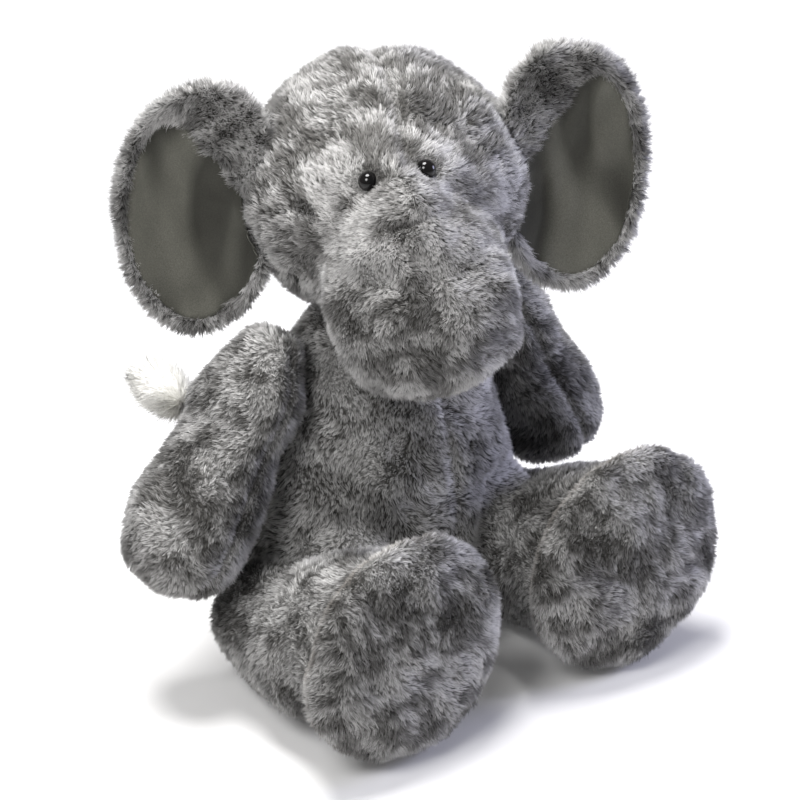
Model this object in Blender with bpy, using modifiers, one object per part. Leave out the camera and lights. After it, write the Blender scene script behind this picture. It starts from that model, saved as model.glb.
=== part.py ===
"""Seated plush elephant: sewn fur skins over fibre stuffing, each piece its own solid.

Metres, +Z up.  The elephant sits on z = 0 and faces -Y, so its left side is +X.
The origin is the centre of the flat seat panel.
"""
import math

import bmesh
import bpy
from mathutils import Matrix, Vector

# ---- Driving dimensions: metres, and degrees where the name ends in _DEG ----

FUR = 0.008              # skin solid: knitted backing with its pile pressed flat
SEAM_GAP = 0.0003        # between pieces that touch
FILL_GAP = 0.0012        # between a skin and the stuffing in it

HEAD_CENTRE = Vector((0, 0.008, 0.352))
HEAD_HALF_WIDTH = 0.101
HEAD_HALF_HEIGHT = 0.097
HEAD_TURN_DEG = -29      # the head looks to the elephant's right
FACE_ROLL_DEG = -8       # the face sits slightly askew on the head
NECK_PLUG_RADIUS = 0.034
NECK_PLUG_BOTTOM = 0.205
NECK_CLEARANCE = 0.0018
HEAD_CLEARANCE = 0.0025  # shoulders to head

TRUNK_PIVOT = Vector((0, -0.052, -0.018))   # in the head's own frame
TRUNK_BALL_RADIUS = 0.060
TRUNK_SWING_DEG = 6      # each way
TRUNK_CLEARANCE = 0.002
TRUNK_ROOT_GAP = 0.006   # bare stuffing between the head's skin and the trunk's
TRUNK_SEAM_AT = (0, -0.150, -0.098)   # a point on the seam round the underside
TRUNK_SEAM_DEG = 32      # the seam's plane rises toward the head
PAST_TRUNK = Vector((1.6, 6, 2.6))    # opens the pivot's ball past the trunk, in radii

EYE_RADIUS = 0.006
EYE_DOME = 0.0048        # dome height above its flat back
EYE_SINK = 0.0045        # the flat back lies this far under the pile's surface
EYE_HALF_SPACING = 0.0205
EYE_ELEVATION_DEG = 27.5
STEM_RADIUS = 0.0016
STEM_LENGTH = 0.010
WASHER_RADIUS = 0.0065
WASHER_THICKNESS = 0.0015
WASHER_DEPTH = 0.0018    # under the skin's inner face, which its facets draw inward

EAR_HALF_WIDTH = 0.056
EAR_HALF_HEIGHT = 0.094
EAR_AT = {"left": (0.106, 0, 0.006), "right": (-0.106, 0, -0.004)}   # in the head's own frame
EAR_CENTRE_OUT = 0.024   # outline's centre, outward of the hinge
EAR_BACK_DEG = 8         # ears swept back from square
EAR_RIM = 0.14           # rolled rim, as a share of the outline
EAR_CUP = 0.016          # how far the rim stands forward of the middle
EAR_ROOT_GAP = 0.004
EAR_MIDDLE = 0.45        # share of the outline inside which the ear is flat
EAR_ROOT_SQUARE = 0.28   # how square the upper corner beside the head is
EAR_LOBE_SQUARE = 0.02   # and the lower one
EAR_BACK_FACE = -0.007   # the fur's outer face behind the ear's middle plane
EAR_FUR = 0.0045         # fur behind the padding
EAR_PADDING = 0.0032
EAR_VELOUR_AT = 0.0080   # the velour's back, forward of the fur's outer face
EAR_VELOUR = 0.0022
EAR_LINING_MARGIN = 0.03 # the velour stops this share of the outline inside the rim

SHOULDER = {"left": Vector((0.101, 0.014, 0.241)), "right": Vector((-0.098, 0.014, 0.246))}
SHOULDER_BALL_RADIUS = 0.032
SHOULDER_CLEARANCE = 0.0015
ARM_OUT_DEG = {"left": 28, "right": 31}
ARM_BACK_DEG = {"left": 5, "right": 3}

HIP_HEIGHT = 0.050
HIP = {"left": Vector((0.098, -0.006, HIP_HEIGHT)), "right": Vector((-0.108, -0.003, HIP_HEIGHT))}
HIP_BALL_RADIUS = 0.050
LEG_OUT_DEG = {"left": -2, "right": 0}
LEG_SWEEP_DEG = (-20, -10, 0, 8)   # from lowered to raised
LEG_CLEARANCE = 0.0023
SOLE_SEAM = 0.131        # distance from the hip to the seam round the sole

SEAT_CENTRE_Y = 0.0
SEAT_HALF = (0.056, 0.050)
BAG_HALF = (0.048, 0.044)
BAG_HEIGHT = 0.030

TAIL_ROOT = Vector((0, 0.107, 0.095))
TAIL_RADIUS = 0.0065
TUFT_RADIUS = 0.019
TAIL_AIM_DEG = (12, 0, 25)
# Along the tail: backward and up from its root
TAIL_ROUTE = ((0.004, 0), (0.032, 0.001), (0.060, 0.003), (0.086, 0.006))
TUFT_START = Vector((0, 0.0875, 0.0065))
TUFT_ALONG = Vector((0, 0.97, 0.24)).normalized()
# Tuft rings: distance along it, radius as a share of the widest
TUFT_RINGS = ((0.0, 0.45), (0.010, 0.8), (0.026, 1.0), (0.044, 0.8), (0.056, 0.35))

# Torso rings from the seat up: height, centre y, half width, half depth
TORSO_RINGS = (
    (0.000, 0.004, 0.066, 0.058),
    (0.000, 0.014, 0.090, 0.076),
    (0.012, 0.014, 0.107, 0.088),
    (0.050, 0.014, 0.117, 0.096),
    (0.110, 0.010, 0.111, 0.092),
    (0.170, 0.008, 0.095, 0.079),
    (0.230, 0.008, 0.077, 0.067),
    (0.276, 0.008, 0.052, 0.050),
)
# Trunk rings from inside the head to the tip: forward, up, direction in degrees
# below level, half width, half height
TRUNK_RINGS = (
    (0.022, -0.012, 0, 0.034, 0.034),
    (0.050, -0.014, 4, 0.053, 0.049),
    (0.088, -0.021, 22, 0.068, 0.053),
    (0.119, -0.043, 52, 0.075, 0.051),
    (0.131, -0.076, 78, 0.059, 0.041),
    (0.129, -0.106, 90, 0.030, 0.020),
)
# Arm rings: distance from the shoulder, half thickness, half width
ARM_RINGS = (
    (0.030, 0.033, 0.036),
    (0.075, 0.040, 0.046),
    (0.120, 0.048, 0.056),
    (0.155, 0.047, 0.054),
    (0.182, 0.028, 0.032),
)
# Leg rings: distance from the hip, radius, height of the underside above the floor
LEG_RINGS = (
    (0.020, 0.053, 0),
    (0.045, 0.060, 0),
    (0.085, 0.073, 0),
    (0.128, 0.090, 0),
    (0.146, 0.086, 0.002),
    (0.162, 0.064, 0.023),
    (0.167, 0.034, 0.053),
)
# The ear's rolled rim, from behind to in front: share of the outline, forward
EAR_ROLL = ((0.82, -0.007), (0.98, -0.001), (1.0, 0.001), (0.96, 0.007), (0.9, 0.007))
BALL_END_DEG = (62, 22)  # rings of a limb's rounded root, from its pole on
SIDES = {"left": 1, "right": -1}
REACH = 0.6              # past the toy on every side


# ---- Scene and helpers ----

def clear_scene():
    for thing in list(bpy.data.objects):
        bpy.data.objects.remove(thing)


def new_collection(name):
    group = bpy.data.collections.new(name)
    bpy.context.scene.collection.children.link(group)
    return group


def new_material(name, color, roughness):
    material = bpy.data.materials.new(name)
    material.use_nodes = True
    shader = material.node_tree.nodes["Principled BSDF"]
    shader.inputs["Base Color"].default_value = (*color, 1)
    shader.inputs["Roughness"].default_value = roughness
    shader.inputs["Metallic"].default_value = 0
    return material


def new_object(name, mesh, group, parent=None, material=None):
    thing = bpy.data.objects.new(name, mesh)
    group.objects.link(thing)
    if material:
        mesh.materials.append(material)
        mesh.shade_smooth()
    else:
        thing.hide_render = True
        thing.display_type = "WIRE"
    thing.parent = parent
    return thing


def new_part(name, mesh, color, parent=None, roughness=0.9):
    return new_object(name, mesh, parts, parent, new_material(name, color, roughness))


def new_cutter(name, mesh, parent=None):
    return new_object(name + "_cutter", mesh, cutters, parent)


def new_frame(name, location, rotation_deg=(0, 0, 0), parent=None):
    frame = bpy.data.objects.new(name, None)
    cutters.objects.link(frame)
    frame.empty_display_size = 0.02
    frame.location = location
    frame.rotation_euler = [math.radians(angle) for angle in rotation_deg]
    frame.parent = parent
    return frame


def mesh_from(bm, name):
    bmesh.ops.recalc_face_normals(bm, faces=bm.faces)
    mesh = bpy.data.meshes.new(name)
    bm.to_mesh(mesh)
    bm.free()
    return mesh


def loft(name, rings):
    """A closed cage through rings of equally many points."""
    bm = bmesh.new()
    loops = [[bm.verts.new(point) for point in ring] for ring in rings]
    count = len(loops[0])
    for near, far in zip(loops, loops[1:]):
        for first in range(count):
            second = (first + 1) % count
            bm.faces.new((near[first], near[second], far[second], far[first]))
    bm.faces.new(loops[0])
    bm.faces.new(loops[-1])
    return mesh_from(bm, name)


def hull_mesh(name, points):
    bm = bmesh.new()
    for point in points:
        bm.verts.new(point)
    bmesh.ops.convex_hull(bm, input=bm.verts)
    inside = [vert for vert in bm.verts if not vert.link_faces]
    bmesh.ops.delete(bm, geom=inside, context="VERTS")
    return mesh_from(bm, name)


def ellipse(centre, half_u, half_v, sides):
    """Ring points, made fuller by what one subdivision takes off a round cage."""
    fullness = 1 / (0.75 + 0.25 * math.cos(2 * math.pi / sides))
    ring = []
    for step in range(sides):
        angle = 2 * math.pi * (step + 0.5) / sides
        around = half_u * math.cos(angle) + half_v * math.sin(angle)
        ring.append(Vector(centre) + fullness * around)
    return ring


def ball_end(centre, radius, along, half_u, half_v, sides):
    """The rings of a half ball behind a limb's first ring, from its pole on."""
    rings = []
    for lift_deg in BALL_END_DEG:
        lift = math.radians(lift_deg)
        reach = radius * math.cos(lift)
        middle = Vector(centre) - Vector(along) * radius * math.sin(lift)
        rings.append(ellipse(middle, half_u * reach, half_v * reach, sides))
    return rings


def box_mesh(name, low, high):
    bm = bmesh.new()
    bmesh.ops.create_cube(bm, size=1)
    size = Vector(high) - Vector(low)
    middle = (Vector(high) + Vector(low)) / 2
    bmesh.ops.transform(bm, matrix=Matrix.LocRotScale(middle, None, size), verts=bm.verts)
    return mesh_from(bm, name)


def ball_mesh(name, radii, centre=(0, 0, 0), segments=24, rings=14):
    bm = bmesh.new()
    bmesh.ops.create_uvsphere(bm, u_segments=segments, v_segments=rings, radius=1)
    place = Matrix.LocRotScale(Vector(centre), None, Vector(radii))
    bmesh.ops.transform(bm, matrix=place, verts=bm.verts)
    return mesh_from(bm, name)


def column_mesh(name, radii, low, high, centre=(0, 0), segments=20):
    bm = bmesh.new()
    bmesh.ops.create_cone(bm, cap_ends=True, segments=segments, radius1=1, radius2=1, depth=1)
    middle = Vector((centre[0], centre[1], (low + high) / 2))
    size = Vector((radii[0], radii[1], high - low))
    bmesh.ops.transform(bm, matrix=Matrix.LocRotScale(middle, None, size), verts=bm.verts)
    return mesh_from(bm, name)


def subdivide(thing, levels=1):
    step = thing.modifiers.new("soft form", "SUBSURF")
    step.levels = levels
    step.render_levels = levels


def thicken(thing, thickness=FUR):
    step = thing.modifiers.new("skin", "SOLIDIFY")
    step.thickness = thickness
    step.offset = -1


def shrink(thing, depth):
    step = thing.modifiers.new("inside the skin", "DISPLACE")
    step.mid_level = 0
    step.strength = -depth


def cut(thing, cutter, operation="DIFFERENCE"):
    step = thing.modifiers.new(cutter.name, "BOOLEAN")
    step.operation = operation
    step.object = cutter


def skin_panel(name, mesh, color, region, cuts=(), parent=None):
    """One sewn panel: the part of a closed skin that lies in the region."""
    panel = new_part(name, mesh.copy(), color, parent)
    subdivide(panel)
    thicken(panel)
    for cutter in cuts:
        cut(panel, cutter)
    cut(panel, region, "INTERSECT")
    return panel


def stuffing(name, mesh, cuts=(), parent=None):
    filling = new_part(name, mesh.copy(), FIBRE, parent, roughness=1.0)
    subdivide(filling)
    shrink(filling, FUR + FILL_GAP)
    for cutter in cuts:
        cut(filling, cutter)
    return filling


def turned(name, profile, color, parent, steps=16, roughness=0.4):
    """A profile of (radius, height) points turned about its own Z axis."""
    mesh = bpy.data.meshes.new(name)
    points = [(radius, 0, height) for radius, height in profile]
    edges = [(index, index + 1) for index in range(len(points) - 1)]
    if points[0][0] > 0:
        edges.append((len(points) - 1, 0))
    mesh.from_pydata(points, edges, [])
    part = new_part(name, mesh, color, parent, roughness)
    screw = part.modifiers.new("turn", "SCREW")
    screw.steps = steps
    screw.render_steps = steps
    screw.use_merge_vertices = True
    screw.merge_threshold = 0.00001
    return part


# ---- Torso ----

def half_space(name, side, parent=None):
    """Everything on one side of the centre seam."""
    edge = SEAM_GAP / 2
    low, high = (edge, REACH) if side > 0 else (-REACH, -edge)
    return new_cutter(name, box_mesh(name, (low, -REACH, -REACH), (high, REACH, REACH)), parent)


def make_torso(limb_rooms, head_cutter):
    rings = [
        ellipse((0, y, z), Vector((width, 0, 0)), Vector((0, depth, 0)), 10)
        for z, y, width, depth in TORSO_RINGS
    ]
    form = loft("torso_form", rings)
    centre = (0, SEAT_CENTRE_Y)
    seat = new_cutter("seat", column_mesh("seat", SEAT_HALF, -0.01, 0.02, centre))
    wide = [half + SEAM_GAP for half in SEAT_HALF]
    seat_hole = new_cutter("seat_hole", column_mesh("seat_hole", wide, -0.01, 0.02, centre))
    neck_radius = NECK_PLUG_RADIUS + NECK_CLEARANCE
    neck_bottom = NECK_PLUG_BOTTOM - FILL_GAP
    neck_at = (HEAD_CENTRE.x, HEAD_CENTRE.y)
    neck_mesh = column_mesh("neck_hole", (neck_radius, neck_radius), neck_bottom, 0.32, neck_at)
    neck_hole = new_cutter("neck_hole", neck_mesh)
    for side_name, side in SIDES.items():
        region = half_space(f"torso_{side_name}", side)
        own = [head_cutter, neck_hole, *limb_rooms[side_name], seat_hole]
        skin_panel(f"torso_{side_name}_panel", form, FUR_GREY, region, own)
    skin_panel("seat_panel", form, FUR_GREY, seat)

    bag_low = FUR + FILL_GAP
    bag_middle = (0, SEAT_CENTRE_Y, bag_low + BAG_HEIGHT / 2)
    bag_radii = (*BAG_HALF, BAG_HEIGHT / 2)
    new_part("pellet_bag", ball_mesh("bag", bag_radii, bag_middle, 20, 10), CANVAS)
    room = (BAG_HALF[0] + FILL_GAP, BAG_HALF[1] + FILL_GAP)
    pocket_mesh = column_mesh("pocket", room, 0, bag_low + BAG_HEIGHT + FILL_GAP, centre)
    pocket = new_cutter("pocket", pocket_mesh)
    every_room = [room for rooms in limb_rooms.values() for room in rooms]
    stuffing("torso_stuffing", form, [pocket, head_cutter, neck_hole, *every_room])


def make_neck(head_cutter):
    """The plug of stuffing that the head turns on, with a dished top for the head."""
    radius = NECK_PLUG_RADIUS
    neck_at = (HEAD_CENTRE.x, HEAD_CENTRE.y)
    mesh = column_mesh("neck", (radius, radius), NECK_PLUG_BOTTOM, 0.28, neck_at)
    plug = new_part("neck_stuffing", mesh, FIBRE, roughness=1.0)
    cut(plug, head_cutter)


# ---- Head ----

def head_form(name, grow=0.0):
    return ball_mesh(name, (HEAD_HALF_WIDTH + grow, HEAD_HALF_WIDTH + grow, HEAD_HALF_HEIGHT + grow))


def head_surface(lateral, elevation_deg):
    """The point of the head's surface that looks up by the given angle."""
    rise = math.sin(math.radians(elevation_deg)) * HEAD_HALF_HEIGHT
    ring = HEAD_HALF_WIDTH * math.cos(math.radians(elevation_deg))
    return Vector((lateral, -math.sqrt(ring * ring - lateral * lateral), rise))


def make_eye(side_name, side, face):
    """A domed eye on a stem, held from inside by a washer; returns their pockets."""
    surface = head_surface(side * EYE_HALF_SPACING, EYE_ELEVATION_DEG)
    outward = surface.normalized()
    seat = new_frame(f"{side_name}_eye_seat", surface - outward * EYE_SINK, parent=face)
    seat.rotation_mode = "QUATERNION"
    seat.rotation_quaternion = outward.to_track_quat("Z", "Y")
    dome = []
    for step in range(5):
        angle = math.radians(90 * step / 5)
        dome.append((EYE_RADIUS * math.cos(angle), EYE_DOME * math.sin(angle)))
    profile = [(0, EYE_DOME), *reversed(dome), (STEM_RADIUS, 0), (STEM_RADIUS, -STEM_LENGTH)]
    profile += [(0, -STEM_LENGTH)]
    turned(f"{side_name}_eye", profile, BLACK, seat, roughness=0.1)
    inner_wall = EYE_SINK - FUR - WASHER_DEPTH
    hole = STEM_RADIUS + SEAM_GAP
    washer_back = inner_wall - WASHER_THICKNESS
    washer = [(WASHER_RADIUS, inner_wall), (WASHER_RADIUS, washer_back)]
    washer += [(hole, washer_back), (hole, inner_wall)]
    turned(f"{side_name}_eye_washer", washer, WASHER_WHITE, seat, steps=14, roughness=0.5)
    rim = EYE_RADIUS + SEAM_GAP
    dome_mesh = column_mesh("eye_pocket", (rim, rim), -SEAM_GAP, 0.02)
    stem_mesh = column_mesh("stem_hole", (hole, hole), -0.02, 0.01, segments=12)
    room = WASHER_RADIUS + FILL_GAP
    back = -STEM_LENGTH - FILL_GAP
    washer_mesh = column_mesh("washer_pocket", (room, room), back, 0.02)
    through_skin = [
        new_cutter(f"{side_name}_eye_pocket", dome_mesh, seat),
        new_cutter(f"{side_name}_stem_hole", stem_mesh, seat),
    ]
    return through_skin, new_cutter(f"{side_name}_washer_pocket", washer_mesh, seat)


def make_head(head):
    face = new_frame("face", (0, 0, 0), (0, FACE_ROLL_DEG, 0), head)
    radius = TRUNK_BALL_RADIUS + SEAM_GAP + FILL_GAP
    socket = new_cutter("trunk_socket", ball_mesh("socket", [radius] * 3, TRUNK_PIVOT), face)
    room_form = trunk_form("trunk_room", TRUNK_CLEARANCE, TRUNK_SWING_DEG)
    room = new_cutter("trunk_room", room_form, face)
    subdivide(room)
    skin_cuts = [socket, room]
    fill_cuts = [socket, room]
    for side_name, side in SIDES.items():
        through_skin, washer_pocket = make_eye(side_name, side, face)
        skin_cuts += through_skin
        fill_cuts.append(washer_pocket)
    form = head_form("head_form")
    for side_name, side in SIDES.items():
        region = half_space(f"head_{side_name}", side, parent=head)
        panel = new_part(f"head_{side_name}_panel", form.copy(), FUR_GREY, head)
        thicken(panel)
        for cutter in skin_cuts:
            cut(panel, cutter)
        cut(panel, region, "INTERSECT")
    filling = new_part("head_stuffing", form.copy(), FIBRE, head, roughness=1.0)
    shrink(filling, FUR + FILL_GAP)
    for cutter in fill_cuts:
        cut(filling, cutter)
    make_trunk(face)


def trunk_form(name, grow=0.0, swing_deg=0.0):
    """The trunk's cage; grown, and made taller by what it sweeps each way."""
    rings = []
    for forward, up, droop_deg, width, height in TRUNK_RINGS:
        droop = math.radians(droop_deg)
        centre = Vector((0, -forward, up))
        sweep = (centre - TRUNK_PIVOT).length * math.tan(math.radians(swing_deg))
        across = Vector((width + grow, 0, 0))
        thick = Vector((0, -math.sin(droop), math.cos(droop))) * (height + grow + sweep)
        rings.append(ellipse(centre, across, thick, 10))
    return loft(name, rings)


def make_trunk(face):
    """A full, drooping trunk: an upper and an under panel over stuffing."""
    form = trunk_form("trunk_form")
    ball = TRUNK_BALL_RADIUS + TRUNK_ROOT_GAP
    root = new_cutter("trunk_root", ball_mesh("root", [ball] * 3, TRUNK_PIVOT), face)
    seam = new_frame("trunk_seam", TRUNK_SEAM_AT, (TRUNK_SEAM_DEG, 0, 0), face)
    edge = SEAM_GAP / 2
    above = new_cutter("above", box_mesh("above", (-REACH, -REACH, edge), [REACH] * 3), seam)
    below = new_cutter("below", box_mesh("below", [-REACH] * 3, (REACH, REACH, -edge)), seam)
    skin_panel("trunk_upper_panel", form, FUR_GREY, above, [root], face)
    skin_panel("trunk_under_panel", form, FUR_GREY, below, [root], face)
    front = new_cutter("trunk_front", ball_and_front("trunk_front", TRUNK_BALL_RADIUS), face)
    filling = stuffing("trunk_stuffing", form, parent=face)
    cut(filling, front, "INTERSECT")


def ball_and_front(name, radius):
    """The pivot's ball, opened forward: the trunk's stuffing ends in a ball."""
    bm = bmesh.new()
    bmesh.ops.create_uvsphere(bm, u_segments=20, v_segments=18, radius=radius)
    turn = Matrix.Rotation(math.radians(90), 4, "X")
    bmesh.ops.transform(bm, matrix=turn, verts=bm.verts)
    for vert in bm.verts:
        if vert.co.y < 0:
            vert.co *= PAST_TRUNK
    bmesh.ops.translate(bm, vec=TRUNK_PIVOT, verts=bm.verts)
    return mesh_from(bm, name)


# ---- Ears ----

def ear_outline(share, forward, side, points=20):
    """The ear's outline drawn in by a share, its middle cupped behind its rim."""
    ring = []
    for step in range(points):
        angle = 2 * math.pi * step / points
        across = math.cos(angle)
        rise = math.sin(angle)
        corner = EAR_ROOT_SQUARE if rise > 0 else EAR_LOBE_SQUARE
        square = 1 + corner * max(0, -across) * abs(rise)
        out = EAR_CENTRE_OUT + EAR_HALF_WIDTH * share * across * square
        up = EAR_HALF_HEIGHT * share * rise * square
        ring.append(Vector((side * out, -forward - EAR_CUP * share * share, up)))
    return ring


def make_ear(side_name, side, head, head_gap):
    hinge = new_frame(f"{side_name}_ear_hinge", EAR_AT[side_name], (0, 0, side * EAR_BACK_DEG), head)
    inside = 1 - EAR_RIM
    inner = inside - EAR_LINING_MARGIN
    back = EAR_BACK_FACE
    floor = back + EAR_FUR
    profile = [(EAR_MIDDLE, back), *EAR_ROLL, (inside, 0.003), (inside - 0.01, floor)]
    profile += [(inner, floor), (EAR_MIDDLE, floor)]
    mesh = loft("ear_back", [ear_outline(share, forward, side) for share, forward in profile])
    cut(new_part(f"{side_name}_ear_back", mesh, FUR_GREY, hinge), head_gap)
    layers = (
        ("padding", floor + SEAM_GAP, EAR_PADDING, FIBRE),
        ("lining", back + EAR_VELOUR_AT + SEAM_GAP, EAR_VELOUR, VELOUR),
    )
    for layer, start, thickness, color in layers:
        top = start + thickness
        faces = [(EAR_MIDDLE, start), (inner, start), (inner, top), (EAR_MIDDLE, top)]
        mesh = loft(layer, [ear_outline(share, forward, side) for share, forward in faces])
        cut(new_part(f"{side_name}_ear_{layer}", mesh, color, hinge), head_gap)


# ---- Arms and legs ----

def make_arm(side_name, side, shoulder):
    """Outer and inner panel over stuffing; the arm hangs along its frame's -Z."""
    down = Vector((0, 0, -1))
    across = Vector((1, 0, 0))
    fore = Vector((0, 1, 0))
    rings = ball_end((0, 0, 0), SHOULDER_BALL_RADIUS, down, across, fore, 8)
    for distance, thickness, width in ARM_RINGS:
        rings.append(ellipse(down * distance, across * thickness, fore * width, 8))
    form = loft("arm_form", rings)
    for panel, facing in (("outer", side), ("inner", -side)):
        region = half_space(f"{side_name}_arm_{panel}", facing, parent=shoulder)
        skin_panel(f"{side_name}_arm_{panel}_panel", form, FUR_GREY, region, parent=shoulder)
    stuffing(f"{side_name}_arm_stuffing", form, parent=shoulder)


def leg_rings(grow=0.0, sides=8):
    ahead = Vector((0, -1, 0))
    across = Vector((1, 0, 0))
    upward = Vector((0, 0, 1))
    rings = ball_end((0, 0, 0), HIP_BALL_RADIUS + grow, ahead, across, upward, sides)
    for distance, radius, underside in LEG_RINGS:
        centre = ahead * distance + upward * (underside + radius - HIP_HEIGHT)
        wide = radius + grow
        rings.append(ellipse(centre, across * wide, upward * wide, sides))
    return rings


def make_leg(side_name, hip):
    """A flared leg skin closed by a round sole, over stuffing; it points along -Y."""
    form = loft("leg_form", leg_rings())
    edge = SEAM_GAP / 2
    behind_mesh = box_mesh("behind", (-REACH, -SOLE_SEAM + edge, -REACH), [REACH] * 3)
    before_mesh = box_mesh("before", [-REACH] * 3, (REACH, -SOLE_SEAM - edge, REACH))
    behind = new_cutter(f"{side_name}_leg", behind_mesh, hip)
    before = new_cutter(f"{side_name}_sole", before_mesh, hip)
    skin_panel(f"{side_name}_leg_skin", form, FUR_GREY, behind, parent=hip)
    skin_panel(f"{side_name}_foot_sole", form, FUR_GREY, before, parent=hip)
    stuffing(f"{side_name}_leg_stuffing", form, parent=hip)


def leg_room(side_name, hip):
    """What the torso leaves free for a leg from its lowered to its raised place."""
    pole = Vector((0, HIP_BALL_RADIUS + LEG_CLEARANCE, 0))
    outline = [pole, *(point for ring in leg_rings(LEG_CLEARANCE, 16) for point in ring)]
    swept = []
    for angle_deg in LEG_SWEEP_DEG:
        raised = Matrix.Rotation(math.radians(-angle_deg), 3, "X")
        swept += [raised @ point for point in outline]
    return new_cutter(f"{side_name}_leg_room", hull_mesh("leg_room", swept), hip)


# ---- Tail ----

def make_tail(root):
    """A thin fur tube with a long-haired tuft on its end, along the frame's +Y."""
    curve = bpy.data.curves.new("tail_cord", "CURVE")
    curve.dimensions = "3D"
    curve.bevel_depth = TAIL_RADIUS
    curve.bevel_resolution = 2
    curve.use_fill_caps = True
    spline = curve.splines.new("POLY")
    spline.points.add(len(TAIL_ROUTE) - 1)
    for point, (backward, up) in zip(spline.points, TAIL_ROUTE):
        point.co = (0, backward, up, 1)
    cord = bpy.data.objects.new("tail_cord", curve)
    parts.objects.link(cord)
    curve.materials.append(new_material("tail_cord", FUR_GREY, 0.9))
    cord.parent = root

    across = Vector((1, 0, 0))
    upward = across.cross(TUFT_ALONG)
    rings = []
    for distance, share in TUFT_RINGS:
        wide = TUFT_RADIUS * share
        centre = TUFT_START + TUFT_ALONG * distance
        rings.append(ellipse(centre, across * wide, upward * wide, 8))
    tuft = new_part("tail_tuft", loft("tuft", rings), CREAM, root)
    subdivide(tuft)


# ---- Assembly ----

FUR_GREY = (0.20, 0.20, 0.205)
VELOUR = (0.115, 0.112, 0.098)
FIBRE = (0.85, 0.85, 0.83)
CANVAS = (0.62, 0.58, 0.50)
BLACK = (0.005, 0.005, 0.005)
WASHER_WHITE = (0.80, 0.80, 0.78)
CREAM = (0.72, 0.70, 0.62)

clear_scene()
parts = new_collection("plush_elephant")
cutters = new_collection("cutters")

head_frame = new_frame("head_pivot", HEAD_CENTRE, (0, 0, HEAD_TURN_DEG))
head_room = new_cutter("head_room", head_form("head_room", HEAD_CLEARANCE), head_frame)
ear_gap = new_cutter("ear_gap", head_form("ear_gap", EAR_ROOT_GAP), head_frame)

rooms_by_side = {}
for name, sign in SIDES.items():
    splay = (0, 0, sign * LEG_OUT_DEG[name])
    hip_frame = new_frame(f"{name}_hip", HIP[name], splay)
    make_leg(name, hip_frame)
    tilt = (ARM_BACK_DEG[name], -sign * ARM_OUT_DEG[name], 0)
    shoulder_frame = new_frame(f"{name}_shoulder", SHOULDER[name], tilt)
    make_arm(name, sign, shoulder_frame)
    room_radius = SHOULDER_BALL_RADIUS + SHOULDER_CLEARANCE
    room_mesh = ball_mesh("shoulder_room", [room_radius] * 3)
    shoulder_room = new_cutter(f"{name}_shoulder_room", room_mesh, shoulder_frame)
    rooms_by_side[name] = [shoulder_room, leg_room(name, hip_frame)]
    make_ear(name, sign, head_frame, ear_gap)

make_torso(rooms_by_side, head_room)
make_neck(head_room)
make_head(head_frame)
make_tail(new_frame("tail_root", TAIL_ROOT, TAIL_AIM_DEG))
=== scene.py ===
"""Looks of the seated plush elephant: padded skins, tipped fur, velour ear linings, eyes.

Each body gets a padded skin made from its packed panels and filling, puffed between its
seams by cloth simulation, and fur grown on it as tapered strands gathered in clumps.
"""
import math

import bmesh
import bpy
import numpy as np
from mathutils import Matrix, Vector


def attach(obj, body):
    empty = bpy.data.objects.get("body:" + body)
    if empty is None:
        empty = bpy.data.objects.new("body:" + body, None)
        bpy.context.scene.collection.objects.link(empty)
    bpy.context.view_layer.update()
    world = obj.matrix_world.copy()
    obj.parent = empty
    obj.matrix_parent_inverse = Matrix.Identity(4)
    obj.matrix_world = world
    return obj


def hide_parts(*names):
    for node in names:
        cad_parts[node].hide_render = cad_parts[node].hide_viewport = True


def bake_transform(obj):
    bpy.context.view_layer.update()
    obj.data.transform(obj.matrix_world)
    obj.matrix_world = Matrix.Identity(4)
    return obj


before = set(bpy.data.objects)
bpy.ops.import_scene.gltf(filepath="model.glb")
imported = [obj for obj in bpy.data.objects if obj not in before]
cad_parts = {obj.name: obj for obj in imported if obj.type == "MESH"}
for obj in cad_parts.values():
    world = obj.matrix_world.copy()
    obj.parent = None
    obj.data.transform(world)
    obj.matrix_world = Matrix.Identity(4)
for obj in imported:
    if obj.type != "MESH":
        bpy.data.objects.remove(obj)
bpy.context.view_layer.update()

# ---- Where things are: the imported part's own places, in metres ----

HEAD = Matrix.Translation((0, 0.008, 0.352)) @ Matrix.Rotation(math.radians(-29), 4, "Z")
FACE = HEAD @ Matrix.Rotation(math.radians(-8), 4, "Y")
TRUNK_PIVOT = Vector((0, -0.052, -0.018))
HEAD_RADII = (0.101, 0.101, 0.097)
EYES = {"left": 1, "right": -1}
EYE_ELEVATION = math.radians(27.5)
EYE_HALF_SPACING = 0.0205
SIDES = {"left": 1, "right": -1}
EAR_AT = {"left": (0.106, 0, 0.006), "right": (-0.106, 0, -0.004)}
EAR_BACK = math.radians(8)
EAR_HALF_WIDTH = 0.056
EAR_HALF_HEIGHT = 0.094
EAR_CENTRE_OUT = 0.024
SHOULDER = {"left": (0.101, 0.014, 0.241), "right": (-0.098, 0.014, 0.246)}
ARM_TILT = {"left": (5, -28, 0), "right": (3, 31, 0)}
HIP = {"left": (0.098, -0.006, 0.050), "right": (-0.108, -0.003, 0.050)}
LEG_OUT = {"left": -2, "right": 0}
SOLE_SEAM = 0.131
TAIL_ROOT = Vector((0, 0.107, 0.095))
TAIL_AIM = (12, 0, 25)

PILE = 0.0042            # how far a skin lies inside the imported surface
PILE_ON_FLOOR = 0.0035   # lowest place of a skin, over the pile pressed under it
FLOOR_CLEAR = 0.0004     # lowest place of a strand
UNDER_FUR = 0.006        # no fur grows on the torso's underside below this

TRUNK_SEAM_AT = (0, -0.150, -0.098)            # on the seam round the trunk's underside
TRUNK_SEAM_NORMAL = (0, -0.5299, 0.8480)
SWELLING_FRAMES = 20
SWELLING_PRESSURE = 4.0


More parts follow.
